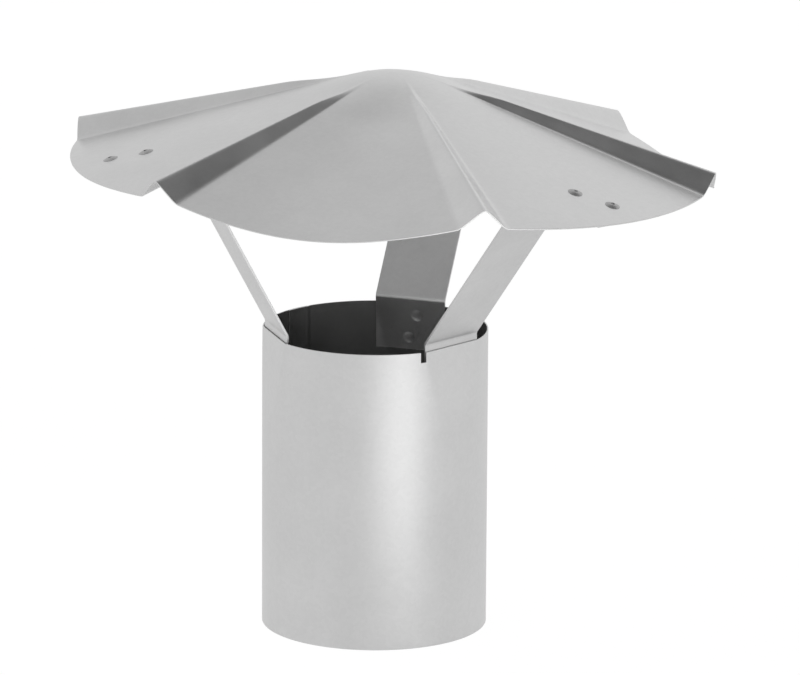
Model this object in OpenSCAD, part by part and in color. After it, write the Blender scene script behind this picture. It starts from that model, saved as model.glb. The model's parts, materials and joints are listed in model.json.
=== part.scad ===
// Duct rain cap: a pressed sheet cap on three bent straps over a rolled spigot collar.
// Millimetres, +Z up. The origin is on the collar's axis, in the plane of its lower end.

/* [Collar] */
// Outside diameter of the rolled collar
collar_d = 100; // [80:1:125]
// Length of the collar
collar_len = 134; // [90:1:200]
// Thickness of the galvanised sheet of the collar and the cap
sheet_t = 0.6; // [0.5:0.1:1]
// Width of the lap in the lengthwise seam
lap_w = 12; // [6:1:18]
// Direction that the seam faces, in degrees
seam_az = 128; // [120:1:140]
// Height below the rim over which the wall is pressed flat behind each strap
pad_len = 38; // [24:1:60]
// Depth of the slit in the rim beside the front strap
slit_depth = 4.5; // [1:0.5:8]
// Width of that slit
slit_w = 2.6; // [1:0.2:4]

/* [Cap] */
// Diameter of the flat round blank that the cap is pressed from
blank_d = 298; // [280:1:330]
// Height of the cap's apex above the lower end of the collar, as if the crown came to a point
apex_h = 253.5; // [230:0.5:320]
// Slope of the crest line of each rib
crest_slope = 14; // [12:0.5:15]
// Slope of the two valley lines beside each rib
valley_slope = 17.4; // [16.5:0.1:18]
// Slope along the middle of a lobe that is held by a strap
held_slope = 18.2; // [17:0.1:20]
// Slope along the middle of a lobe that hangs free
free_slope = 20.7; // [18:0.1:23]
// Half of the angle that a rib takes up, seen from above
rib_half = 4.2; // [3:0.1:5]
// Direction of the first rib, in degrees
first_rib_az = -14.5; // [-20:0.5:-10]
// Distance from the apex at which the rounded crown ends
crown_r = 24; // [15:1:30]
// Distance from the apex at which the ribs have grown to their full height
rib_full_r = 52; // [40:1:70]
// How far the apex stands beside the collar's axis, toward +X
cap_shift_x = 9; // [0:0.5:10]
// How far the apex stands beside the collar's axis, toward +Y
cap_shift_y = -1.5; // [-3:0.5:3]
// Angle by which the whole cap leans
cap_lean = 2.6; // [0:0.1:3]
// Direction toward which the cap leans, in degrees
cap_lean_az = 41; // [0:1:90]

/* [Straps] */
// Width of the straps
strap_w = 33; // [20:1:34]
// Thickness of the straps
strap_t = 1; // [0.8:0.1:1.5]
// Directions of the left, back and right straps seen from the collar's axis, in degrees
strap_az = [198, 70, -43.5];
// Length of the strap foot inside the collar
foot_len = 21; // [18:1:30]
// Height of the lower bend above the collar's rim
bend_h = 3; // [2:0.5:6]
// Distance from the apex at which a strap meets the cap
flange_in_r = 100; // [90:1:108]
// Distance from the apex at which a strap ends
flange_out_r = 139; // [134:1:141]
// Radius of the bends, at the middle of the thickness
bend_r = 3; // [2:0.5:4]
// Diameter of the spot weld marks
weld_d = 5.5; // [4:0.5:7]

/* [Rivets] */
// Diameter of the rivet body
rivet_d = 3.2; // [2.4:0.1:4]
// Diameter of the rivet head
rivet_head_d = 6.5; // [5:0.1:8]
// Height of the rivet head
rivet_head_h = 0.9; // [0.6:0.1:1.4]
// Distance of the inner rivet from the apex
rivet_in_r = 114.5; // [111:0.5:117]
// Distance of the outer rivet from the apex
rivet_out_r = 128; // [125:0.5:131]
// Distance of each rivet beside the middle line of its strap
rivet_side = 4.4; // [0:0.1:6]

/* [Hidden] */

collar_r = collar_d / 2;
cap_s = blank_d / 2;
rib_count = 6;
rib_pitch = 360 / rib_count;
galvanised = [0.76, 0.78, 0.79];
strap_grey = [0.72, 0.74, 0.75];
rivet_grey = [0.55, 0.56, 0.57];
mandrel_grey = [0.3, 0.3, 0.31];
past = 1;
touch = 0.03;
lap_angle = lap_w / collar_r * 180 / PI;

// Cap surface. A point lies at distance s from the apex along the line of direction a.
// The ribs and lobes give each direction its own slope, and every line is as long as the blank's radius.
rib_fade_from = 18;
mean_drop = sin((valley_slope + held_slope) / 2);
crest_round = 0.35;
valley_round = 0.12;

function step(x) = let (u = min(1, max(0, x))) u * u * (3 - 2 * u);
function near_rib(a) = let (k = round((a - first_rib_az) / rib_pitch)) a - first_rib_az - k * rib_pitch;
function lobe_of(a) = floor((a - first_rib_az) / rib_pitch);
function lobe_slope(a) = lobe_of(a) % 2 == 0 ? free_slope : held_slope;
function sag(a) = let (d = abs(near_rib(a))) d < rib_half ? 0
    : sin(90 * (d - rib_half) / (rib_pitch / 2 - rib_half));
// The rib's cross-section is a rounded triangle, from 1 on the crest to 0 in the valleys
function rib_rise(a) = let (x = near_rib(a) / rib_half, y = 1 - sqrt(x * x + crest_round * crest_round))
    (y + sqrt(y * y + valley_round * valley_round)) / 2;
rib_peak = rib_rise(first_rib_az);
function drop(a) = let (v = sin(valley_slope))
    v + (sin(lobe_slope(a)) - v) * sag(a) + (sin(crest_slope) - v) * rib_rise(a) / rib_peak;
function crown(s) = s >= crown_r ? s : crown_r / 2 + s * s / (2 * crown_r);
function grown(s) = s * step((s - rib_fade_from) / (rib_full_r - rib_fade_from));
function cap_height(s, a) = -(mean_drop * crown(s) + (drop(a) - mean_drop) * grown(s));
function cap_reach(s, a) = s * sqrt(1 - pow(drop(a), 2));
function cap_point(s, a) = [cap_reach(s, a) * cos(a), cap_reach(s, a) * sin(a), cap_height(s, a)];
small_s = 0.5;
small_a = 0.15;
function unit(v) = v / norm(v);
function cap_normal(s, a) = s < small_s ? [0, 0, 1]
    : unit(cross(cap_point(s + small_s, a) - cap_point(s - small_s, a),
                 cap_point(s, a + small_a) - cap_point(s, a - small_a)));
function cap_inside(s, a, depth) = cap_point(s, a) - depth * cap_normal(s, a);

// The cap's frame: leaned about the apex and set beside the collar's axis
lean_axis = [-sin(cap_lean_az), cos(cap_lean_az), 0];
function turned(v, k, w) = v * cos(w) + cross(k, v) * sin(w) + k * (k * v) * (1 - cos(w));
apex = [cap_shift_x, cap_shift_y, apex_h];
function to_world(v) = apex + turned(v, lean_axis, cap_lean);
function to_cap(v) = turned(v - apex, lean_axis, -cap_lean);
module in_cap_frame() {
    translate(apex) rotate(cap_lean, lean_axis) children();
}

// Height of the cap's underside above a place in the plan, by stepping to the leaned surface
function cap_s_at(v) = let (a = atan2(v.y, v.x)) norm([v.x, v.y]) / sqrt(1 - pow(drop(a), 2));
function under_cap(x, y, z, steps = 4) = steps == 0 ? z
    : let (v = to_cap([x, y, z]), a = atan2(v.y, v.x), s = cap_s_at(v),
           slack = sheet_t / cap_normal(s, a).z)
      under_cap(x, y, z + (cap_height(s, a) - slack - v.z) / cos(cap_lean), steps - 1);

// Closed skin over rows of points. Each row holds one face of a sheet from side to side, then the
// other face back again, so its end is closed by short quads from one face to the other.
module sheet_skin(rows) {
    n = len(rows[0]);
    last = (len(rows) - 1) * n;
    polyhedron(
        points = [for (row = rows) each row],
        faces = [
            for (i = [0 : len(rows) - 2], j = [0 : n - 1]) each [
                [i * n + j, (i + 1) * n + j, i * n + (j + 1) % n],
                [i * n + (j + 1) % n, (i + 1) * n + j, (i + 1) * n + (j + 1) % n]],
            for (j = [0 : n / 2 - 2]) each [
                [j, j + 1, n - 1 - j],
                [j + 1, n - 2 - j, n - 1 - j],
                [last + j, last + n - 1 - j, last + j + 1],
                [last + j + 1, last + n - 1 - j, last + n - 2 - j]]
        ],
        convexity = 8);
}

// Directions of the cap's lines: close together round each rib, wider over the lobes
rib_lines = [-1.16, -1, -0.84, -0.3, -0.1, 0.1, 0.3, 0.84, 1, 1.16];
lobe_lines = 8;
lobe_edge = 1.16 * rib_half;
cap_lines = [for (k = [0 : rib_count - 1]) each concat(
    [for (x = rib_lines) first_rib_az + k * rib_pitch + x * rib_half],
    [for (j = [1 : lobe_lines - 1])
        first_rib_az + k * rib_pitch + lobe_edge + j * (rib_pitch - 2 * lobe_edge) / lobe_lines])];
cap_rings = [1, each [8 : 8 : 56], cap_s];

module cap_sheet() {
    n = len(cap_lines);
    m = len(cap_rings);
    top_tip = 2 * m * n;
    function ring(side, i, j) = side * m * n + i * n + j % n;
    polyhedron(
        points = concat(
            [for (s = cap_rings, a = cap_lines) cap_point(s, a)],
            [for (s = cap_rings, a = cap_lines) cap_inside(s, a, sheet_t)],
            [[0, 0, cap_height(0, 0)], [0, 0, cap_height(0, 0) - sheet_t]]),
        faces = [
            for (j = [0 : n - 1]) each [
                [top_tip, ring(0, 0, j + 1), ring(0, 0, j)],
                [top_tip + 1, ring(1, 0, j), ring(1, 0, j + 1)],
                [ring(0, m - 1, j), ring(0, m - 1, j + 1), ring(1, m - 1, j)],
                [ring(0, m - 1, j + 1), ring(1, m - 1, j + 1), ring(1, m - 1, j)]],
            for (i = [0 : m - 2], j = [0 : n - 1]) each [
                [ring(0, i, j), ring(0, i, j + 1), ring(0, i + 1, j)],
                [ring(0, i, j + 1), ring(0, i + 1, j + 1), ring(0, i + 1, j)],
                [ring(1, i, j), ring(1, i + 1, j), ring(1, i, j + 1)],
                [ring(1, i, j + 1), ring(1, i + 1, j), ring(1, i + 1, j + 1)]]
        ],
        convexity = 8);
}

// Straps. Each lies in the upright plane through the collar's axis: r is the distance from
// the axis in that plane, q the distance beside the plane, and z the height.
strap_half = strap_w / 2;
foot_gap = 0.3;
pad_in = collar_r - sqrt(pow(collar_r, 2) - pow(strap_half + foot_gap, 2));
pad_tilt = atan(pad_in / pad_len);
strap_cuts = 8;
sides = [for (j = [0 : strap_cuts]) -strap_half + j * strap_w / strap_cuts];
function strap_dir(k) = [cos(strap_az[k]), sin(strap_az[k])];
function strap_world(k, r, q, z) = let (d = strap_dir(k)) [r * d.x - q * d.y, r * d.y + q * d.x, z];

// Distance of the collar's inner wall from the axis, beside the plane and below the rim
function pad_r(z) = collar_r - pad_in + (collar_len - z) * tan(pad_tilt);
function wall_r(q, z, inset, gap) = min(pad_r(z) - (inset + gap) / cos(pad_tilt),
    sqrt(pow(collar_r - inset - touch, 2) - q * q));

// Radius in the strap's plane of a point at distance s_r from the apex in plan
function plan_r(k, from_apex) = let (d = strap_dir(k), o = [cap_shift_x, cap_shift_y], along = o * d)
    along + sqrt(pow(from_apex, 2) - (o * o - along * along));
function sheet_over(p) = under_cap(p.x, p.y, apex_h - norm([p.x, p.y]) * tan(valley_slope));
function under_at(k, r, q) = sheet_over(strap_world(k, r, q, 0));

// Middle line of the strap under the cap, half its thickness below the sheet
function flange_dir(k) = let (r0 = plan_r(k, flange_in_r), r1 = plan_r(k, flange_out_r))
    unit([r1 - r0, under_at(k, r1, 0) - under_at(k, r0, 0)]);
function flange_mid(k, from_apex) = let (r = plan_r(k, from_apex), f = flange_dir(k))
    [r, under_at(k, r, 0)] + (strap_t / 2 + touch) * [f.y, -f.x];
function foot_mid(z) = [pad_r(z) - (sheet_t + foot_gap + strap_t / 2) / cos(pad_tilt), z];

// Arc that rounds the corner at b between the lines from a and to c
bend_steps = 6;
function arc_points(a, b, c, radius) = let (
        u = unit(b - a), v = unit(c - b), turn = acos(u * v), hand = sign(u.x * v.y - u.y * v.x),
        start = b - u * radius * tan(turn / 2), centre = start + hand * radius * [-u.y, u.x])
    [for (i = [0 : bend_steps]) let (w = hand * turn * i / bend_steps, e = start - centre)
        centre + [e.x * cos(w) - e.y * sin(w), e.x * sin(w) + e.y * cos(w)]];

// A row of the strap: the outline of its section, with the outward face first
function flat_row(k, mid, dir) = let (h = strap_t / 2 * [dir.y, -dir.x], out = mid + h, in = mid - h)
    [for (q = sides) strap_world(k, out.x, q, out.y),
     for (j = [strap_cuts : -1 : 0]) strap_world(k, in.x, sides[j], in.y)];
function foot_row(k, z) =
    [for (q = sides) strap_world(k, wall_r(q, z, sheet_t, foot_gap), q, z),
     for (j = [strap_cuts : -1 : 0]) let (q = sides[j])
         strap_world(k, wall_r(q, z, sheet_t, foot_gap) - strap_t, q, z)];
// Under the cap each point follows the sheet, so its height shifts with the sheet above it
function lift(k, r, q, share) = share * (under_at(k, r, q) - under_at(k, r, 0));
function flange_row(k, mid, dir, share) = let (
        h = strap_t / 2 * [dir.y, -dir.x], low = mid + h, top = mid - h)
    [for (q = sides) strap_world(k, low.x, q, low.y + lift(k, mid.x, q, share)),
     for (j = [strap_cuts : -1 : 0]) let (q = sides[j])
         strap_world(k, top.x, q, top.y + lift(k, mid.x, q, share))];
function dirs(points) = [for (i = [0 : len(points) - 1])
    unit(points[min(i + 1, len(points) - 1)] - points[max(i - 1, 0)])];

foot_rows = 4;
flange_rows = 6;
module strap_sheet(k) {
    corner = foot_mid(collar_len + bend_h);
    low_bend = arc_points(foot_mid(collar_len), corner, flange_mid(k, flange_in_r), bend_r);
    high_bend = arc_points(corner, flange_mid(k, flange_in_r), flange_mid(k, flange_out_r), bend_r);
    low_dirs = dirs(low_bend);
    high_dirs = dirs(high_bend);
    flange_start = flange_in_r + 2 * bend_r;
    sheet_skin(concat(
        [for (i = [0 : foot_rows]) foot_row(k, collar_len - foot_len + i * foot_len / foot_rows)],
        [for (i = [0 : bend_steps]) flat_row(k, low_bend[i], low_dirs[i])],
        [for (i = [0 : bend_steps]) flange_row(k, high_bend[i], high_dirs[i], i / bend_steps)],
        [for (i = [0 : flange_rows])
            flange_row(k, flange_mid(k, flange_start + i * (flange_out_r - flange_start) / flange_rows),
                flange_dir(k), 1)]));
}

// Spot welds leave a shallow round dimple in the sheet that the electrode pressed on
weld_depths = [5, 15.5];
weld_sides = [-3, 1];
dimple_deep = 0.35;
dimple_r = (pow(weld_d / 2, 2) + pow(dimple_deep, 2)) / (2 * dimple_deep);
module weld_marks(k) {
    for (i = [0, 1]) {
        z = collar_len - weld_depths[i];
        r = wall_r(weld_sides[i], z, sheet_t, foot_gap) - strap_t;
        translate(strap_world(k, r - dimple_r + dimple_deep, weld_sides[i], z))
            sphere(r = dimple_r, $fn = 48);
    }
}

// Rivet places, as s and a on the cap, and the axis of each through sheet and strap
handed = [-1, 1, 1];
function rivet_place(k, i) = let (
        r = plan_r(k, i == 0 ? rivet_in_r : rivet_out_r),
        q = handed[k] * (i == 0 ? -rivet_side : rivet_side),
        p = strap_world(k, r, q, 0), v = to_cap([p.x, p.y, sheet_over(p)]))
    [cap_s_at(v), atan2(v.y, v.x)];
module at_rivets(ks) {
    for (k = ks, i = [0, 1]) {
        place = rivet_place(k, i);
        n = cap_normal(place[0], place[1]);
        in_cap_frame() translate(cap_point(place[0], place[1]))
            rotate([0, acos(n.z), atan2(n.y, n.x)]) children();
    }
}
grip_slack = 0.2;
grip = sheet_t + strap_t + grip_slack;
tail_h = 3;
tail_spread = 1.4;
mandrel_share = 0.58;
bore_d = rivet_d * mandrel_share;
mandrel_head_h = 1.2;
module rivet_hole() {
    translate([0, 0, -grip - tail_h]) cylinder(d = rivet_d, h = grip + tail_h + past, $fn = 32);
}

module cap() {
    color(galvanised) difference() {
        in_cap_frame() cap_sheet();
        at_rivets([0, 1, 2]) rivet_hole();
    }
}

module strap(k) {
    color(strap_grey) difference() {
        strap_sheet(k);
        weld_marks(k);
        at_rivets([k]) rivet_hole();
    }
}
module strap_left() { strap(0); }
module strap_back() { strap(1); }
module strap_right() { strap(2); }

// Solid drum with the three pads pressed flat, drawn in by inset all round.
// The rolled wall starts and ends inside the lap.
module drum(inset, from, to) {
    difference() {
        translate([0, 0, from]) rotate(seam_az + lap_angle / 8)
            cylinder(r = collar_r - inset, h = to - from, $fn = 128);
        for (az = strap_az) rotate(az)
            translate([collar_r - pad_in, 0, collar_len]) rotate([0, -pad_tilt, 0])
                translate([-inset, -collar_r, -2 * pad_len]) cube([collar_r, collar_d, 3 * pad_len]);
    }
}

// Second thickness of the sheet where its edges overlap
module lap() {
    rotate(seam_az) rotate_extrude(angle = lap_angle, $fn = 128)
        translate([collar_r - 2 * sheet_t, 0]) square([sheet_t + touch, collar_len]);
}

// Step along the outer edge of the lap, and its row of spot welds
seam_groove = 0.4;
seam_welds = 4;
module seam_marks() {
    rotate(seam_az) {
        translate([collar_r - sheet_t / 2, -seam_groove, -past])
            cube([sheet_t, seam_groove, collar_len + 2 * past]);
        rotate(lap_angle / 2) for (i = [0 : seam_welds - 1])
            translate([collar_r + dimple_r - dimple_deep, 0, (i + 0.5) * collar_len / seam_welds])
                sphere(r = dimple_r, $fn = 48);
    }
}

// The slit stands this many degrees beyond the edge of the front strap
slit_beyond = 1.9;
slit_az = strap_az[2] - asin(strap_half / collar_r) - slit_beyond;
module rim_slit() {
    through = pad_in + sheet_t + past;
    rotate(slit_az) translate([collar_r - through, -slit_w / 2, collar_len - slit_depth])
        cube([through + past, slit_w, slit_depth + past]);
}

module collar() {
    color(galvanised) difference() {
        union() {
            difference() {
                drum(0, 0, collar_len);
                drum(sheet_t, -past, collar_len + past);
            }
            lap();
        }
        seam_marks();
        rim_slit();
    }
}

module cap_rivets() {
    dome_r = (pow(rivet_head_d / 2, 2) + pow(rivet_head_h, 2)) / (2 * rivet_head_h);
    color(rivet_grey) at_rivets([0, 1, 2]) difference() {
        union() {
            intersection() {
                translate([0, 0, rivet_head_h - dome_r]) sphere(r = dome_r, $fn = 64);
                translate([0, 0, touch]) cylinder(d = rivet_head_d, h = rivet_head_h, $fn = 48);
            }
            translate([0, 0, -grip - past]) cylinder(d = rivet_d, h = grip + past + touch * 2, $fn = 32);
            translate([0, 0, -grip - tail_h]) cylinder(d = rivet_d * tail_spread, h = tail_h, $fn = 32);
        }
        translate([0, 0, -grip - tail_h - past])
            cylinder(d = bore_d, h = grip + tail_h + rivet_head_h + 2 * past, $fn = 32);
    }
}

module rivet_mandrels() {
    color(mandrel_grey) at_rivets([0, 1, 2]) {
        translate([0, 0, -grip - tail_h]) cylinder(d = bore_d, h = grip + tail_h, $fn = 32);
        translate([0, 0, -grip - tail_h - mandrel_head_h])
            cylinder(d = rivet_d, h = mandrel_head_h, $fn = 32);
    }
}

cap();
collar();
strap_left();
strap_back();
strap_right();
cap_rivets();
rivet_mandrels();
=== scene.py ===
"""Duct rain cap: its sheet-metal pieces, finishes, lights and camera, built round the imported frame."""

import json
from math import acos, asin, atan, atan2, cos, floor, hypot, pi, radians, sin, sqrt, tan

import bmesh
import bpy
from bpy.props import FloatProperty, FloatVectorProperty, IntProperty, PointerProperty
from bpy.types import Operator, Panel, PropertyGroup
from mathutils import Matrix, Vector


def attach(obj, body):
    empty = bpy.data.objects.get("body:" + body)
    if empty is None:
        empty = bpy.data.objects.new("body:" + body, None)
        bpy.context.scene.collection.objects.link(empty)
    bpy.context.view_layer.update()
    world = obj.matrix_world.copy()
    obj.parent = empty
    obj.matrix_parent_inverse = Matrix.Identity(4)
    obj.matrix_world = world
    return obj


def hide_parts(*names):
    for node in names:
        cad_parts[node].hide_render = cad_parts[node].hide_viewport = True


bl_info = {
    "name": "Duct rain cap",
    "version": (1, 0, 0),
    "blender": (4, 5, 0),
    "location": "3D Viewport > Sidebar > Rain Cap",
    "description": "Builds the pieces, finishes, lights and camera of a sheet-metal duct rain cap",
    "category": "Object",
}

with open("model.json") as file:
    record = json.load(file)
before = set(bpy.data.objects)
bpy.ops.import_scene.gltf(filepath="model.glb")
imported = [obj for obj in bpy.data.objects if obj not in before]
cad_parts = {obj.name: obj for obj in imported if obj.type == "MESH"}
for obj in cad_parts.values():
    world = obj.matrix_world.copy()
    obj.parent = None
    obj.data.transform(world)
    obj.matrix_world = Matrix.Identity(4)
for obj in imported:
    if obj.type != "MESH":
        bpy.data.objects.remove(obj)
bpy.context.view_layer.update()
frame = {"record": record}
MM = 0.001
SPIGOT = next(m for m in frame["record"]["mounts"] if m["name"] == "spigot")
COLLAR_R = SPIGOT["dims"]["r_mm"] * MM
COLLAR_LEN = SPIGOT["dims"]["length_mm"] * MM


def linear(hex_colour):
    """An sRGB hex colour as linear red, green, blue and alpha."""
    channels = [int(hex_colour[i:i + 2], 16) / 255 for i in (1, 3, 5)]
    return [c / 12.92 if c <= 0.04045 else ((c + 0.055) / 1.055) ** 2.4 for c in channels] + [1.0]


def length(name, description, mm):
    """A length that the sidebar shows in the scene's unit."""
    return FloatProperty(name=name, description=description, default=mm * MM, unit="LENGTH")


def angle(name, description, degrees):
    """An angle that the sidebar shows in degrees."""
    return FloatProperty(name=name, description=description, default=radians(degrees),
                         subtype="ANGLE", unit="ROTATION")


def colour(name, description, hex_colour):
    """A surface colour."""
    return FloatVectorProperty(name=name, description=description, size=4, subtype="COLOR",
                               min=0, max=1, default=linear(hex_colour))


# Settings that a user would change


class CapSettings(PropertyGroup):
    sheet_t: length("Sheet", "Thickness of the galvanised sheet of the cap and the collar", 0.6)
    blank_d: length("Blank", "Diameter of the flat disc that the cap is pressed from", 298)
    apex_x: length("Apex X", "Place of the apex beside the collar's axis, toward +X", 9)
    apex_y: length("Apex Y", "Place of the apex beside the collar's axis, toward +Y", -1.5)
    apex_z: length("Apex height", "Height of the apex if the crown came to a point", 253.5)
    crest_slope: angle("Crest slope", "Slope of the crest line of each rib", 14)
    valley_slope: angle("Valley slope", "Slope of the two valley lines beside each rib", 17.4)
    held_slope: angle("Held lobe slope", "Slope along the middle of a lobe held by a strap", 18.2)
    free_slope: angle("Free lobe slope", "Slope along the middle of a lobe that hangs free", 20.7)
    rib_half: angle("Half rib", "Half of the angle that a rib takes up, seen from above", 4.2)
    first_rib: angle("First rib", "Direction of the first rib", -14.5)
    rib_count: IntProperty(name="Ribs", description="Number of ribs, evenly spaced", default=6)
    crown_r: length("Crown", "Distance from the apex at which the rounded crown ends", 24)
    rib_from_r: length("Rib start", "Distance from the apex at which the ribs begin to rise", 18)
    rib_full_r: length("Rib full", "Distance from the apex at which the ribs are at full height", 52)
    lean: angle("Lean", "Angle by which the whole cap leans", 2.6)
    lean_az: angle("Lean toward", "Direction toward which the cap leans", 41)


class CollarSettings(PropertyGroup):
    lap_w: length("Lap", "Width of the lap in the lengthwise seam", 12)
    seam_az: angle("Seam", "Direction that the seam faces", 128)
    pad_len: length("Pad", "Height over which the wall is pressed flat behind each strap", 38)
    slit_depth: length("Slit depth", "Depth of the slit in the rim beside the front strap", 4.5)
    slit_w: length("Slit width", "Width of that slit", 2.6)
    weld_d: length("Weld mark", "Diameter of the spot weld marks", 5.5)
    weld_deep: length("Weld depth", "Depth of the spot weld marks", 0.35)


class StrapSettings(PropertyGroup):
    width: length("Width", "Width of the straps", 33)
    thickness: length("Thickness", "Thickness of the straps", 1)
    left_az: angle("Left strap", "Direction of the left strap from the collar's axis", 198)
    back_az: angle("Back strap", "Direction of the back strap from the collar's axis", 70)
    right_az: angle("Right strap", "Direction of the right strap from the collar's axis", -43.5)
    foot_len: length("Foot", "Length of the strap foot inside the collar", 21)
    foot_gap: length("Foot gap", "Air between the foot and the pressed pad", 0.3)
    bend_h: length("Bend height", "Height of the lower bend above the collar's rim", 3)
    bend_r: length("Bend radius", "Radius of the bends at the middle of the thickness", 3)
    flange_in_r: length("Flange start", "Distance from the apex at which a strap meets the cap", 100)
    flange_out_r: length("Flange end", "Distance from the apex at which a strap ends", 139)


class RivetSettings(PropertyGroup):
    body_d: length("Body", "Diameter of the rivet body", 3.2)
    head_d: length("Head", "Diameter of the rivet head", 6.5)
    head_h: length("Head height", "Height of the rivet head", 0.9)
    tail_h: length("Tail", "Length of the set tail under the strap", 3)
    inner_r: length("Inner rivet", "Distance of the inner rivet from the apex", 114.5)
    outer_r: length("Outer rivet", "Distance of the outer rivet from the apex", 128)
    side: length("Side step", "Distance of each rivet beside the middle line of its strap", 4.4)


class FinishSettings(PropertyGroup):
    zinc: colour("Zinc", "Colour of the galvanised sheet of the cap and the collar", "#DFDFDF")
    strap_zinc: colour("Strap zinc", "Colour of the galvanised sheet of the straps", "#DBDBDB")
    # Painted shade: this darker zinc stands for the shade inside the collar's hollow
    shaded_inner_zinc: colour("Inner zinc", "Colour of the zinc inside the collar, darkened as painted shade of the tube's hollow", "#929292")
    rivet: colour("Rivet", "Colour of the dull zinc plate on the rivets", "#C2C2C2")
    mandrel: colour("Mandrel", "Colour of the darkened steel of the rivet mandrels", "#6E6D6C")


class StageSettings(PropertyGroup):
    distance: FloatProperty(name="Distance", description="Distance of the camera from its aim",
                            default=3.0715, unit="LENGTH")
    height_angle: angle("Elevation", "Angle by which the camera looks down", 14.19)
    roll: angle("Roll", "Angle by which the camera is turned about its own axis", 0.33)
    lens: FloatProperty(name="Lens", description="Focal length in millimetres", default=312.5)
    aim: FloatVectorProperty(name="Aim", description="Place at the middle of the picture",
                             size=3, subtype="TRANSLATION", default=(0.01095, 0, 0.12942))
    floor: colour("Floor", "Colour of the pale floor", "#EFEFEF")
    white: colour("Background", "Colour that the camera sees behind the object", "#FFFFFF")


SETTINGS = {
    "rain_cap": CapSettings,
    "rain_collar": CollarSettings,
    "rain_straps": StrapSettings,
    "rain_rivets": RivetSettings,
    "rain_finish": FinishSettings,
    "rain_stage": StageSettings,
}


# The cap's surface


def smooth_step(x):
    """0 below 0, 1 above 1, and an S curve between."""
    u = min(1.0, max(0.0, x))
    return u * u * (3 - 2 * u)


class CapSurface:
    """The pressed form: a point lies at distance s from the apex along the line of direction a."""

    crest_round = 0.12
    valley_round = 0.06
    step_s = 0.5 * MM
    step_a = radians(0.15)

    def __init__(self, cap):
        self.cap = cap
        self.pitch = 2 * pi / cap.rib_count
        self.mean_drop = sin((cap.valley_slope + cap.held_slope) / 2)
        self.peak = self.rib_rise(cap.first_rib)
        self.apex = Vector((cap.apex_x, cap.apex_y, cap.apex_z))
        axis = Vector((-sin(cap.lean_az), cos(cap.lean_az), 0))
        self.turn = Matrix.Rotation(cap.lean, 3, axis)

    def near_rib(self, a):
        """Angle from the nearest crest."""
        turns = (a - self.cap.first_rib) / self.pitch
        return a - self.cap.first_rib - round(turns) * self.pitch

    def rib_rise(self, a):
        """The rib's section, a rounded triangle from its full height on the crest to 0 in the valleys."""
        x = self.near_rib(a) / self.cap.rib_half
        y = 1 - sqrt(x * x + self.crest_round ** 2)
        return (y + sqrt(y * y + self.valley_round ** 2)) / 2

    def drop(self, a):
        """Sine of the slope of the line of direction a."""
        cap = self.cap
        lobe = floor((a - cap.first_rib) / self.pitch)
        lobe_drop = sin(cap.free_slope if lobe % 2 == 0 else cap.held_slope)
        across = (abs(self.near_rib(a)) - cap.rib_half) / (self.pitch / 2 - cap.rib_half)
        sag = sin(pi / 2 * across) if across > 0 else 0
        valley = sin(cap.valley_slope)
        rise = self.rib_rise(a) / self.peak
        return valley + (lobe_drop - valley) * sag + (sin(cap.crest_slope) - valley) * rise

    def height(self, s, a):
        """Height below the apex, with the crown rounded and the ribs growing out of it."""
        cap = self.cap
        crown = s if s >= cap.crown_r else cap.crown_r / 2 + s * s / (2 * cap.crown_r)
        grown = s * smooth_step((s - cap.rib_from_r) / (cap.rib_full_r - cap.rib_from_r))
        return -(self.mean_drop * crown + (self.drop(a) - self.mean_drop) * grown)

    def local(self, s, a):
        """A point of the upper face in the cap's own frame."""
        reach = s * sqrt(1 - self.drop(a) ** 2)
        return Vector((reach * cos(a), reach * sin(a), self.height(s, a)))

    def local_normal(self, s, a):
        """The upward normal in the cap's own frame."""
        if s < self.step_s:
            return Vector((0, 0, 1))
        outward = self.local(s + self.step_s, a) - self.local(s - self.step_s, a)
        sideways = self.local(s, a + self.step_a) - self.local(s, a - self.step_a)
        return outward.cross(sideways).normalized()

    def point(self, s, a):
        """A point of the upper face where the leaned cap stands."""
        return self.apex + self.turn @ self.local(s, a)

    def normal(self, s, a):
        return self.turn @ self.local_normal(s, a)

    def place_over(self, x, y):
        """The line and distance of the cap above a place in the plan, and the underside's height there."""
        cap = self.cap
        z = cap.apex_z - hypot(x, y) * tan(cap.valley_slope)
        for _ in range(4):
            v = self.turn.transposed() @ (Vector((x, y, z)) - self.apex)
            a = atan2(v.y, v.x)
            s = hypot(v.x, v.y) / sqrt(1 - self.drop(a) ** 2)
            slack = cap.sheet_t / self.local_normal(s, a).z
            z += (self.height(s, a) - slack - v.z) / cos(cap.lean)
        return s, a, z


# The straps' and the collar's shared places


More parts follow.
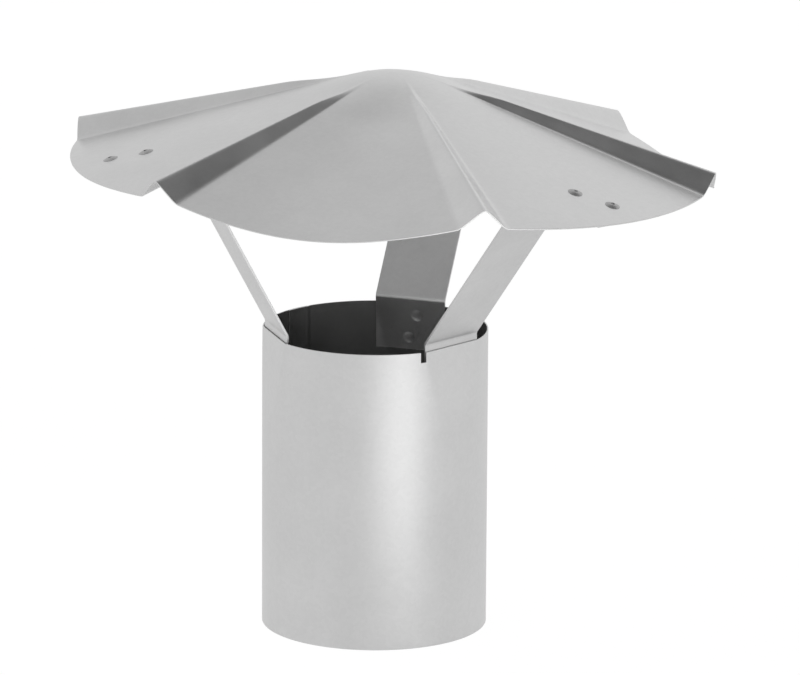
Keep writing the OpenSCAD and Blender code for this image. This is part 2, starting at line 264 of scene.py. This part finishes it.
class StrapPlane:
    """The upright plane through the collar's axis in which a strap lies: r outward, q beside it, z up."""

    touch = 0.03 * MM
    bend_steps = 12

    def __init__(self, scene, azimuth):
        self.cap = scene.rain_cap
        self.straps = scene.rain_straps
        self.surface = CapSurface(self.cap)
        self.az = azimuth
        self.dir = Vector((cos(azimuth), sin(azimuth), 0))
        self.side = Vector((-sin(azimuth), cos(azimuth), 0))
        half = self.straps.width / 2 + self.straps.foot_gap
        self.pad_in = COLLAR_R - sqrt(COLLAR_R ** 2 - half ** 2)
        self.tilt = atan(self.pad_in / scene.rain_collar.pad_len)

    def world(self, r, q, z):
        return self.dir * r + self.side * q + Vector((0, 0, z))

    def pad_r(self, z):
        """Distance of the pressed pad's outer face from the axis."""
        return COLLAR_R - self.pad_in + (COLLAR_LEN - z) * tan(self.tilt)

    def foot_r(self, q, z):
        """Distance of the foot's middle layer from the axis: on the pad, then round the inner wall."""
        sheet = self.cap.sheet_t
        flat = self.pad_r(z) - (sheet + self.straps.foot_gap) / cos(self.tilt)
        rounded = sqrt((COLLAR_R - sheet - self.touch) ** 2 - q * q)
        return min(flat, rounded) - self.straps.thickness / 2

    def plan_r(self, from_apex):
        """Distance from the collar's axis of a place that is this far from the apex in plan."""
        offset = Vector((self.cap.apex_x, self.cap.apex_y, 0))
        along = offset.dot(self.dir)
        return along + sqrt(from_apex ** 2 - (offset.dot(offset) - along ** 2))

    def under(self, r, q=0.0):
        """Height of the cap's underside over a place of the strap."""
        p = self.world(r, q, 0)
        return self.surface.place_over(p.x, p.y)[2]

    def flange_dir(self):
        r0, r1 = self.plan_r(self.straps.flange_in_r), self.plan_r(self.straps.flange_out_r)
        return Vector((r1 - r0, self.under(r1) - self.under(r0))).normalized()

    def flange_mid(self, from_apex):
        """Middle of the thickness, half of it below the sheet."""
        r, d = self.plan_r(from_apex), self.flange_dir()
        below = self.straps.thickness / 2 + self.touch
        return Vector((r, self.under(r))) + below * Vector((d.y, -d.x))

    def arc(self, a, b, c):
        """Points of the bend that rounds the corner at b between a and c."""
        u, v = (b - a).normalized(), (c - b).normalized()
        turn = acos(u.dot(v))
        hand = 1 if u.x * v.y - u.y * v.x > 0 else -1
        start = b - u * self.straps.bend_r * tan(turn / 2)
        centre = start + hand * self.straps.bend_r * Vector((-u.y, u.x))
        arm = start - centre
        steps = [hand * turn * i / self.bend_steps for i in range(self.bend_steps + 1)]
        return [centre + Vector((arm.x * cos(w) - arm.y * sin(w), arm.x * sin(w) + arm.y * cos(w)))
                for w in steps]

    def rows(self):
        """Rows of the strap's middle layer from the foot's end to the flange's: a function of q each."""
        s = self.straps
        foot_start = COLLAR_LEN - s.foot_len
        corner_z = COLLAR_LEN + s.bend_h
        back = (self.cap.sheet_t + s.foot_gap + s.thickness / 2) / cos(self.tilt)
        foot_top = Vector((self.pad_r(COLLAR_LEN) - back, COLLAR_LEN))
        corner = Vector((self.pad_r(corner_z) - back, corner_z))
        flange = self.flange_mid(s.flange_in_r)
        low = self.arc(foot_top, corner, flange)
        high = self.arc(corner, flange, self.flange_mid(s.flange_out_r))
        rows = [lambda q, z=foot_start + s.foot_len * i / 20: self.world(self.foot_r(q, z), q, z)
                for i in range(21)]
        rows += [lambda q, m=m: self.world(m.x, q, m.y) for m in low]
        rows += [lambda q, m=low[-1].lerp(high[0], i / 16): self.world(m.x, q, m.y) for i in range(1, 16)]

        def follow(m, share):
            """Under the cap each point shifts with the sheet above it."""
            return lambda q: self.world(m.x, q, m.y + share * (self.under(m.x, q) - self.under(m.x)))

        rows += [follow(m, i / self.bend_steps) for i, m in enumerate(high)]
        start = s.flange_in_r + 2 * s.bend_r
        rows += [follow(self.flange_mid(start + (s.flange_out_r - start) * i / 20), 1) for i in range(21)]
        return rows


def strap_planes(scene):
    """Each strap's node name and plane."""
    s = scene.rain_straps
    return {"strap_left": StrapPlane(scene, s.left_az), "strap_back": StrapPlane(scene, s.back_az),
            "strap_right": StrapPlane(scene, s.right_az)}


# Mesh helpers


def sheet_grid(bm, columns, rows):
    """A flat rectangle of quads, and where each vertex lies in it, as column and row numbers."""
    made = bmesh.ops.create_grid(bm, x_segments=columns, y_segments=rows, size=1)
    return {v: (round((v.co.x + 1) / 2 * columns), round((v.co.y + 1) / 2 * rows)) for v in made["verts"]}


def face_out(bm, outward):
    """Turns an open sheet's faces to one side, judged on the face where outward is surest."""
    bmesh.ops.recalc_face_normals(bm, faces=bm.faces[:])
    surest = max(bm.faces, key=lambda f: abs(f.normal.dot(outward(f.calc_center_median()))))
    if surest.normal.dot(outward(surest.calc_center_median())) < 0:
        bmesh.ops.reverse_faces(bm, faces=bm.faces[:])


def finished(bm, name, material, nodes, thickness=None, offset=-1, edge=0.12 * MM, inner=None):
    """Turns the bmesh into a smooth piece that rides on the frame and stands for its CAD nodes. An inner
    material goes on the face that the sheet's thickness adds."""
    mesh = bpy.data.meshes.new(name)
    bm.to_mesh(mesh)
    bm.free()
    mesh.shade_smooth()
    mesh.materials.append(material)
    piece = bpy.data.objects.new(name, mesh)
    bpy.context.scene.collection.objects.link(piece)
    if thickness:
        wall = piece.modifiers.new("Sheet thickness", "SOLIDIFY")
        wall.thickness = thickness
        wall.offset = offset
        wall.use_even_offset = True
        if inner:
            mesh.materials.append(inner)
            wall.material_offset = 1
    if edge:
        bevel = piece.modifiers.new("Sheared edge", "BEVEL")
        bevel.width = edge
        bevel.segments = 2
        bevel.limit_method = "ANGLE"
        bevel.angle_limit = radians(55)
        bevel.harden_normals = True
    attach(piece, "root")
    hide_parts(*nodes)
    return piece


# Finishes


def add(tree, kind, links=None, **settings):
    """Adds a node, sets its properties and sockets, and links the sockets named in links."""
    node = tree.nodes.new(kind)
    for key, value in settings.items():
        if hasattr(node, key):
            setattr(node, key, value)
        else:
            node.inputs[key.replace("_", " ")].default_value = value
    for socket, source in (links or {}).items():
        tree.links.new(source, node.inputs[socket])
    return node


def empty_material(name):
    material = bpy.data.materials.new(name)
    material.use_nodes = True
    material.node_tree.nodes.clear()
    return material, material.node_tree


def galvanised_steel(name, zinc, roughness, cloud, grain_along):
    """Hot-dip galvanised sheet: a bright grey metal whose fine frozen crystals and slightly uneven
    surface blur what it mirrors. Damp and handling cloud it in soft patches some centimetres wide."""
    spangle = 1.6 * MM
    patch = 34 * MM
    wave = 46 * MM
    material, tree = empty_material(name)
    place = add(tree, "ShaderNodeTexCoord").outputs["Object"]
    stretched = add(tree, "ShaderNodeMapping", {"Vector": place}, Scale=grain_along).outputs["Vector"]
    crystals = add(tree, "ShaderNodeTexVoronoi", {"Vector": place}, Scale=1 / spangle)
    patches = add(tree, "ShaderNodeTexNoise", {"Vector": place}, Scale=1 / patch, Detail=3.0, Roughness=0.55)
    streaks = add(tree, "ShaderNodeTexNoise", {"Vector": stretched}, Scale=1 / patch, Detail=4.0)
    waves = add(tree, "ShaderNodeTexNoise", {"Vector": place}, Scale=1 / wave, Detail=1.0)
    speck = add(tree, "ShaderNodeSeparateColor", {"Color": crystals.outputs["Color"]}).outputs["Red"]

    # Darker where the patches lie, and one crystal barely differs from the next
    shade = add(tree, "ShaderNodeMapRange", {"Value": patches.outputs["Fac"]},
                From_Min=0.3, From_Max=0.7, To_Min=1 - cloud, To_Max=1.0).outputs["Result"]
    streak = add(tree, "ShaderNodeMapRange", {"Value": streaks.outputs["Fac"]},
                 From_Min=0.3, From_Max=0.7, To_Min=0.97, To_Max=1.02).outputs["Result"]
    fleck = add(tree, "ShaderNodeMapRange", {"Value": speck}, To_Min=0.97, To_Max=1.0).outputs["Result"]
    level = add(tree, "ShaderNodeMath", {0: shade, 1: fleck}, operation="MULTIPLY").outputs[0]
    level = add(tree, "ShaderNodeMath", {0: level, 1: streak}, operation="MULTIPLY").outputs[0]
    coat = add(tree, "ShaderNodeVectorMath", {"Scale": level}, operation="SCALE")
    coat.inputs[0].default_value = zinc[:3]

    # Crystals vary the blur, and long waves bend the mirrored floor a little
    blur = add(tree, "ShaderNodeMapRange", {"Value": patches.outputs["Fac"]},
               From_Min=0.3, From_Max=0.7, To_Min=roughness - 0.04, To_Max=roughness + 0.04)
    long_waves = add(tree, "ShaderNodeBump", {"Height": waves.outputs["Fac"]}, Strength=1.0,
                     Distance=0.25 * MM)
    fine = add(tree, "ShaderNodeBump", {"Height": speck, "Normal": long_waves.outputs["Normal"]},
               Strength=0.35, Distance=0.012 * MM)
    surface = add(tree, "ShaderNodeBsdfPrincipled",
                  {"Base Color": coat.outputs["Vector"], "Roughness": blur.outputs["Result"],
                   "Normal": fine.outputs["Normal"]}, Metallic=1.0)
    add(tree, "ShaderNodeOutputMaterial", {"Surface": surface.outputs["BSDF"]})
    return material


def plated_steel(name, plate, roughness):
    """Zinc-plated or plain steel parts: a darker, duller grey with fine scuffs from the setting tool."""
    scuff = 0.5 * MM
    material, tree = empty_material(name)
    place = add(tree, "ShaderNodeTexCoord").outputs["Object"]
    scuffs = add(tree, "ShaderNodeTexNoise", {"Vector": place}, Scale=1 / scuff, Detail=3.0)
    level = add(tree, "ShaderNodeMapRange", {"Value": scuffs.outputs["Fac"]},
                From_Min=0.3, From_Max=0.7, To_Min=0.85, To_Max=1.0).outputs["Result"]
    coat = add(tree, "ShaderNodeVectorMath", {"Scale": level}, operation="SCALE")
    coat.inputs[0].default_value = plate[:3]
    marks = add(tree, "ShaderNodeBump", {"Height": scuffs.outputs["Fac"]}, Strength=0.3, Distance=0.03 * MM)
    surface = add(tree, "ShaderNodeBsdfPrincipled",
                  {"Base Color": coat.outputs["Vector"], "Normal": marks.outputs["Normal"]},
                  Metallic=1.0, Roughness=roughness)
    add(tree, "ShaderNodeOutputMaterial", {"Surface": surface.outputs["BSDF"]})
    return material


# Pieces


class RAINCAP_OT_cap(Operator):
    """Press the round blank into the ribbed cap"""
    bl_idname = "raincap.cap"
    bl_label = "Cap"

    lines = 360
    crowding = 0.6
    ring_gap = 4 * MM

    def execute(self, context):
        scene = context.scene
        cap, surface = scene.rain_cap, CapSurface(scene.rain_cap)
        blank_r = cap.blank_d / 2
        rings = round(blank_r / self.ring_gap)
        bm = bmesh.new()
        line = [bm.verts.new((blank_r * i / rings, 0, 0)) for i in range(rings + 1)]
        edges = [bm.edges.new(pair) for pair in zip(line, line[1:])]
        bmesh.ops.spin(bm, geom=line + edges, cent=(0, 0, 0), axis=(0, 0, 1), angle=2 * pi,
                       steps=self.lines, use_merge=True)
        bmesh.ops.remove_doubles(bm, verts=bm.verts[:], dist=0.01 * MM)
        for v in bm.verts:
            s, a = hypot(v.co.x, v.co.y), atan2(v.co.y, v.co.x)
            # The lines crowd together at the ribs and spread over the lobes
            a = cap.first_rib + a - self.crowding * sin(cap.rib_count * a) / cap.rib_count
            v.co = surface.point(s, a)
        face_out(bm, lambda p: Vector((0, 0, 1)))
        f = scene.rain_finish
        zinc = galvanised_steel("hot-dip galvanised steel, cap", f.zinc, 0.36, 0.06, (1, 1, 1))
        finished(bm, "cap_pressed", zinc, ["cap"], cap.sheet_t)
        return {"FINISHED"}


class RAINCAP_OT_collar(Operator):
    """Roll the collar's blank, lap its seam, press the strap pads and cut the rim slit"""
    bl_idname = "raincap.collar"
    bl_label = "Collar"

    cell = 1 * MM
    row_h = 2 * MM
    crease = 0.25 * MM
    joggle = 1.2 * MM
    slit_beyond = radians(1.9)
    seam_welds = 4

    def wall_r(self, planes, az, z, seated):
        """Outer radius of the wall: round, or drawn in to the nearest pressed pad with a soft crease."""
        r = COLLAR_R - seated
        for plane in planes:
            off = atan2(sin(az - plane.az), cos(az - plane.az))
            if abs(off) < radians(40):
                inside = r - plane.pad_r(z) / cos(off)
                r -= (inside + sqrt(inside * inside + self.crease ** 2)) / 2
        return r

    def execute(self, context):
        scene = context.scene
        collar, sheet = scene.rain_collar, scene.rain_cap.sheet_t
        planes = list(strap_planes(scene).values())
        around = 2 * pi * COLLAR_R
        blank_w = around + collar.lap_w
        bm = bmesh.new()
        wide, tall = round(blank_w / self.cell), round(COLLAR_LEN / self.row_h)
        cells = sheet_grid(bm, wide, tall)
        for v, (i, j) in cells.items():
            v.co = Vector((blank_w * i / wide, COLLAR_LEN * j / tall, 0))

        # The slit is cut in the flat blank
        right = planes[2]
        slit_az = right.az - asin(scene.rain_straps.width / 2 / COLLAR_R) - self.slit_beyond
        slit_at = (slit_az - collar.seam_az) % (2 * pi) * COLLAR_R
        cuts = [((slit_at - collar.slit_w / 2, 0, 0), (1, 0, 0)),
                ((slit_at + collar.slit_w / 2, 0, 0), (1, 0, 0)),
                ((0, COLLAR_LEN - collar.slit_depth, 0), (0, 1, 0))]
        for place, normal in cuts:
            geom = bm.verts[:] + bm.edges[:] + bm.faces[:]
            bmesh.ops.bisect_plane(bm, geom=geom, dist=0.001 * MM, plane_co=place, plane_no=normal)
        waste = [f for f in bm.faces if abs(f.calc_center_median().x - slit_at) < collar.slit_w / 2
                 and f.calc_center_median().y > COLLAR_LEN - collar.slit_depth]
        bmesh.ops.delete(bm, geom=waste, context="FACES")

        # More cells where the spot welds press their dimples
        weld_r = collar.weld_d / 2
        welds = [Vector((collar.lap_w / 2, (i + 0.5) * COLLAR_LEN / self.seam_welds, 0))
                 for i in range(self.seam_welds)]
        near = [e for e in bm.edges if any((v.co - w).length < 1.4 * weld_r for v in e.verts for w in welds)]
        bmesh.ops.subdivide_edges(bm, edges=near, cuts=2, use_grid_fill=True)

        for v in bm.verts:
            along, z = v.co.x, v.co.y
            az = collar.seam_az + along / COLLAR_R
            # The sheet steps in by its own thickness to pass under its outer edge
            seated = sheet * smooth_step((along - around + self.joggle) / self.joggle)
            r = self.wall_r(planes, az, z, seated)
            for w in welds:
                share = (v.co - w).length / weld_r
                r -= collar.weld_deep * max(0, 1 - share * share)
            v.co = Vector((r * cos(az), r * sin(az), z))
        face_out(bm, lambda p: Vector((p.x, p.y, 0)).normalized())
        f = scene.rain_finish
        outer = galvanised_steel("hot-dip galvanised steel, collar", f.zinc, 0.36, 0.06, (1, 1, 0.15))
        # The collar's inner face gets the darker zinc, painted shade for the inside of the tube
        inner = galvanised_steel("damp-dulled galvanised steel, inside the collar", f.shaded_inner_zinc, 0.42, 0.12,
                                 (1, 1, 0.15))
        finished(bm, "collar_rolled", outer, ["collar"], sheet, inner=inner)
        return {"FINISHED"}


class RAINCAP_OT_straps(Operator):
    """Bend the three straps between the collar's pads and the cap's underside"""
    bl_idname = "raincap.straps"
    bl_label = "Straps"

    columns = 22
    weld_depths = (5 * MM, 15.5 * MM)
    weld_sides = (-3 * MM, 1 * MM)

    def execute(self, context):
        scene = context.scene
        straps, collar = scene.rain_straps, scene.rain_collar
        f = scene.rain_finish
        zinc = galvanised_steel("hot-dip galvanised steel, strap", f.strap_zinc, 0.38, 0.06, (1, 1, 1))
        for name, plane in strap_planes(scene).items():
            rows = plane.rows()
            bm = bmesh.new()
            cells = sheet_grid(bm, self.columns, len(rows) - 1)
            for v, (i, j) in cells.items():
                v.co = rows[j](straps.width * (i / self.columns - 0.5))
            weld_r = collar.weld_d / 2
            welds = [plane.world(plane.foot_r(q, COLLAR_LEN - d), q, COLLAR_LEN - d)
                     for d, q in zip(self.weld_depths, self.weld_sides)]
            near = [e for e in bm.edges
                    if any((v.co - w).length < 1.4 * weld_r for v in e.verts for w in welds)]
            bmesh.ops.subdivide_edges(bm, edges=near, cuts=2, use_grid_fill=True)
            for v in bm.verts:
                for w in welds:
                    share = (v.co - w).length / weld_r
                    v.co += plane.dir * collar.weld_deep * max(0, 1 - share * share)
            # The faces look away from the collar's axis below and away from the cap above
            face_out(bm, lambda p: Vector((plane.dir.x, plane.dir.y, -1)))
            finished(bm, name + "_bent", zinc, [name], straps.thickness, offset=0)
        return {"FINISHED"}


def rivet_frames(scene):
    """Where each rivet stands: its origin on the cap's upper face and its axis along the normal."""
    rivets, frames = scene.rain_rivets, []
    for hand, plane in zip((-1, 1, 1), strap_planes(scene).values()):
        for from_apex, q in ((rivets.inner_r, -rivets.side), (rivets.outer_r, rivets.side)):
            p = plane.world(plane.plan_r(from_apex), hand * q, 0)
            s, a, _ = plane.surface.place_over(p.x, p.y)
            up = plane.surface.normal(s, a)
            turn = up.to_track_quat("Z", "Y").to_matrix().to_4x4()
            frames.append(Matrix.Translation(plane.surface.point(s, a)) @ turn)
    return frames


def turned_parts(profile, frames, steps):
    """One closed turned part per frame, spun from a profile of radius and height."""
    bm = bmesh.new()
    for place in frames:
        ring = [bm.verts.new((r, 0, z)) for r, z in profile]
        edges = [bm.edges.new(pair) for pair in zip(ring, ring[1:])]
        if profile[0][0] > 0:
            edges.append(bm.edges.new((ring[-1], ring[0])))
        made = bmesh.ops.spin(bm, geom=ring + edges, cent=(0, 0, 0), axis=(0, 0, 1), angle=2 * pi,
                              steps=steps, use_merge=True)
        part = {v for v in bm.verts if not v.tag}
        bmesh.ops.transform(bm, matrix=place, verts=list(part))
        for v in part:
            v.tag = True
    bmesh.ops.remove_doubles(bm, verts=bm.verts[:], dist=0.001 * MM)
    bmesh.ops.recalc_face_normals(bm, faces=bm.faces[:])
    return bm


class RAINCAP_OT_rivets(Operator):
    """Set the blind rivets and leave their broken mandrels in them"""
    bl_idname = "raincap.rivets"
    bl_label = "Rivets"

    steps = 40
    bore_share = 0.58
    tail_spread = 1.4
    grip_slack = 0.2 * MM
    mandrel_head_h = 1.2 * MM

    def execute(self, context):
        scene = context.scene
        rivets, f = scene.rain_rivets, scene.rain_finish
        grip = scene.rain_cap.sheet_t + scene.rain_straps.thickness + self.grip_slack
        head_r, body_r = rivets.head_d / 2, rivets.body_d / 2
        bore_r, tail_r = body_r * self.bore_share, body_r * self.tail_spread
        dome_r = (head_r ** 2 + rivets.head_h ** 2) / (2 * rivets.head_h)
        base = 0.03 * MM

        def dome(r):
            return rivets.head_h - dome_r + sqrt(dome_r ** 2 - r * r)

        brim_r = head_r * 0.97
        radii = [bore_r + (brim_r - bore_r) * i / 6 for i in range(7)]
        head = [(r, dome(r)) for r in radii] + [(head_r, base * 2), (head_r * 0.98, base), (body_r, base)]
        tail_top, tail_end = -grip, -grip - rivets.tail_h
        soft = 0.5 * MM
        tail = [(body_r, tail_top), (tail_r - soft, tail_top), (tail_r, tail_top - soft),
                (tail_r, tail_end + soft), (tail_r - soft, tail_end), (bore_r, tail_end)]
        bm = turned_parts(head + tail, rivet_frames(scene), self.steps)
        plate = plated_steel("dull zinc-plated steel, rivets", f.rivet, 0.45)
        finished(bm, "cap_rivets_set", plate, ["cap_rivets"], edge=None)

        stem_r = bore_r * 0.99
        neck = 0.15 * MM
        head_end = tail_end - self.mandrel_head_h
        stem = [(0, 0), (stem_r * 0.6, -neck * 0.4), (stem_r, -neck), (stem_r, tail_end),
                (body_r - neck, tail_end), (body_r, tail_end - neck), (body_r, head_end + soft),
                (body_r - soft, head_end), (0, head_end)]
        bm = turned_parts(stem, rivet_frames(scene), self.steps)
        dark = plated_steel("darkened plain steel, mandrels", f.mandrel, 0.55)
        finished(bm, "rivet_mandrels_broken", dark, ["rivet_mandrels"], edge=None)
        return {"FINISHED"}


# Stage


class RAINCAP_OT_stage(Operator):
    """Lay the pale floor, set the soft studio light and place the camera"""
    bl_idname = "raincap.stage"
    bl_label = "Floor, lights and camera"

    # How much of the floor's white is its own glow, seen by the camera and by the metal
    white_share = 0.9
    mirrored_white = 0.55
    glow = 1.065

    # Level of the room from straight down, over the horizon, to straight up
    room_levels = [(0.0, 0.88), (0.5, 0.88), (0.64, 0.79), (0.75, 0.78), (0.88, 0.7), (1.0, 0.6)]

    # Round patches on the room: direction, height, level, and the cosines of their soft edge
    ceiling = (radians(-24), radians(65), 0.1, 0.7, 0.86)
    window = (radians(50), radians(22), 0.93, 0.7, 0.98)

    lamp_at = Vector((1.17, -1.87, 0.9))
    lamp_aim = Vector((0, 0, 0.12))
    lamp_size = (1.0, 1.8)
    lamp_energy = 7
    pool_at = Vector((0.17, -0.38, 0))
    pool_r = 0.25
    pool_height = 1.5
    pool_energy = 135

    def execute(self, context):
        stage = context.scene.rain_stage
        self.place_camera(context, stage)
        self.lay_floor(context, stage)
        self.light_room(context, stage)
        context.scene.view_settings.view_transform = "Standard"
        return {"FINISHED"}

    def place_camera(self, context, stage):
        """The camera looks at its aim from the -Y side, raised and slightly rolled."""
        lens = bpy.data.cameras.new("Studio camera")
        lens.sensor_width = 36
        lens.lens = stage.lens
        lens.clip_end = 20
        camera = bpy.data.objects.new("Studio camera", lens)
        context.scene.collection.objects.link(camera)
        e, r = stage.height_angle, stage.roll
        back = Vector((0, -cos(e), sin(e)))
        level_up = Vector((0, sin(e), cos(e)))
        right = Vector((1, 0, 0)) * cos(r) + level_up * sin(r)
        up = back.cross(right)
        turn = Matrix((right, up, back)).transposed().to_4x4()
        camera.matrix_world = Matrix.Translation(Vector(stage.aim) + back * stage.distance) @ turn
        context.scene.camera = camera

    def lay_floor(self, context, stage):
        """Pale floor that reads as white, but keeps the object's shadow, and is clear from below."""
        bm = bmesh.new()
        bmesh.ops.create_grid(bm, x_segments=1, y_segments=1, size=4)
        mesh = bpy.data.meshes.new("studio_floor")
        bm.to_mesh(mesh)
        bm.free()
        material, tree = empty_material("matt white studio paper")
        ray = add(tree, "ShaderNodeLightPath")
        seen = add(tree, "ShaderNodeMath", {0: ray.outputs["Is Camera Ray"],
                                            1: ray.outputs["Is Transmission Ray"]}, operation="MAXIMUM")
        mirrored = add(tree, "ShaderNodeMath", {0: ray.outputs["Is Glossy Ray"]}, operation="MULTIPLY")
        mirrored.inputs[1].default_value = self.mirrored_white
        share = add(tree, "ShaderNodeMath", {0: seen.outputs[0]}, operation="MULTIPLY")
        share.inputs[1].default_value = self.white_share
        share = add(tree, "ShaderNodeMath", {0: share.outputs[0], 1: mirrored.outputs[0]},
                    operation="MAXIMUM")
        paper = add(tree, "ShaderNodeBsdfDiffuse", Color=stage.floor)
        glow = add(tree, "ShaderNodeEmission", Color=stage.white, Strength=self.glow)
        mixed = add(tree, "ShaderNodeMixShader", {0: share.outputs[0], 1: paper.outputs["BSDF"],
                                                  2: glow.outputs["Emission"]})
        below = add(tree, "ShaderNodeNewGeometry").outputs["Backfacing"]
        clear = add(tree, "ShaderNodeBsdfTransparent")
        shown = add(tree, "ShaderNodeMixShader", {0: below, 1: mixed.outputs["Shader"],
                                                  2: clear.outputs["BSDF"]})
        add(tree, "ShaderNodeOutputMaterial", {"Surface": shown.outputs["Shader"]})
        mesh.materials.append(material)
        floor_piece = bpy.data.objects.new("studio_floor", mesh)
        context.scene.collection.objects.link(floor_piece)

    def patch(self, tree, towards, base, place):
        """A soft-edged round patch of one level on the room: its direction, level and edge."""
        az, el, level, edge, inside = place
        near = add(tree, "ShaderNodeVectorMath", {0: towards}, operation="DOT_PRODUCT")
        near.inputs[1].default_value = (cos(el) * cos(az), cos(el) * sin(az), sin(el))
        share = add(tree, "ShaderNodeMapRange", {"Value": near.outputs["Value"]},
                    interpolation_type="SMOOTHSTEP", From_Min=edge, From_Max=inside)
        colour = add(tree, "ShaderNodeBackground", Color=[level] * 3 + [1], Strength=1.0)
        return add(tree, "ShaderNodeMixShader", {0: share.outputs["Result"], 1: base,
                                                 2: colour.outputs["Background"]}).outputs["Shader"]

    def light_room(self, context, stage):
        """A pale room, brighter behind on the right and dark high on the right, and two lamps."""
        world = bpy.data.worlds.new("Studio room")
        world.use_nodes = True
        tree = world.node_tree
        tree.nodes.clear()
        context.scene.world = world
        ray = add(tree, "ShaderNodeLightPath")
        towards = add(tree, "ShaderNodeTexCoord").outputs["Generated"]
        height = add(tree, "ShaderNodeSeparateXYZ", {"Vector": towards}).outputs["Z"]
        rise = add(tree, "ShaderNodeMapRange", {"Value": height}, From_Min=-1.0, From_Max=1.0)
        room = add(tree, "ShaderNodeValToRGB", {"Fac": rise.outputs["Result"]})
        ramp = room.color_ramp
        while len(ramp.elements) < len(self.room_levels):
            ramp.elements.new(0.5)
        for element, (at, level) in zip(ramp.elements, self.room_levels):
            element.position = at
            element.color = (level, level, level, 1)
        walls = add(tree, "ShaderNodeBackground", {"Color": room.outputs["Color"]}, Strength=1.0)
        lit = self.patch(tree, towards, walls.outputs["Background"], self.window)
        lit = self.patch(tree, towards, lit, self.ceiling)
        white = add(tree, "ShaderNodeBackground", Color=stage.white, Strength=1.0)
        shown = add(tree, "ShaderNodeMixShader", {0: ray.outputs["Is Camera Ray"], 1: lit,
                                                  2: white.outputs["Background"]})
        add(tree, "ShaderNodeOutputWorld", {"Surface": shown.outputs["Shader"]})

        lamp = bpy.data.lights.new("Tall soft lamp", "AREA")
        lamp.shape = "RECTANGLE"
        lamp.size, lamp.size_y = self.lamp_size
        lamp.energy = self.lamp_energy
        self.hang(context, lamp, self.lamp_at, self.lamp_aim)

        # Its beam stays clear of the object: the collar mirrors the pool of light on the paper
        pool = bpy.data.lights.new("Pool lamp", "SPOT")
        pool.energy = self.pool_energy
        pool.spot_size = 2 * atan(self.pool_r / self.pool_height)
        pool.spot_blend = 0.9
        pool.shadow_soft_size = 0.03
        self.hang(context, pool, self.pool_at + Vector((0, 0, self.pool_height)), self.pool_at)

    def hang(self, context, lamp, place, aim):
        """Puts a lamp at its place, facing its aim."""
        holder = bpy.data.objects.new(lamp.name, lamp)
        context.scene.collection.objects.link(holder)
        turn = (place - aim).to_track_quat("Z", "Y").to_matrix().to_4x4()
        holder.matrix_world = Matrix.Translation(place) @ turn


class RAINCAP_PT_panel(Panel):
    """Lists the pieces and their settings"""
    bl_idname = "RAINCAP_PT_panel"
    bl_label = "Duct Rain Cap"
    bl_space_type = "VIEW_3D"
    bl_region_type = "UI"
    bl_category = "Rain Cap"

    def draw(self, context):
        for operator, group in PIECES:
            box = self.layout.box()
            box.operator(operator.bl_idname)
            settings = getattr(context.scene, group)
            for key in SETTINGS[group].__annotations__:
                box.prop(settings, key)


PIECES = [
    (RAINCAP_OT_stage, "rain_stage"),
    (RAINCAP_OT_cap, "rain_cap"),
    (RAINCAP_OT_collar, "rain_collar"),
    (RAINCAP_OT_straps, "rain_straps"),
    (RAINCAP_OT_rivets, "rain_rivets"),
]


def register():
    for group in SETTINGS.values():
        bpy.utils.register_class(group)
    for name, group in SETTINGS.items():
        setattr(bpy.types.Scene, name, PointerProperty(type=group))
    for operator, _ in PIECES:
        bpy.utils.register_class(operator)
    bpy.utils.register_class(RAINCAP_PT_panel)


def unregister():
    bpy.utils.unregister_class(RAINCAP_PT_panel)
    for operator, _ in reversed(PIECES):
        bpy.utils.unregister_class(operator)
    for name, group in reversed(list(SETTINGS.items())):
        delattr(bpy.types.Scene, name)
        bpy.utils.unregister_class(group)


def main():
    register()
    for operator, _ in PIECES:
        _, name = operator.bl_idname.split(".")
        getattr(bpy.ops.raincap, name)()


if __name__ == "__main__":
    main()
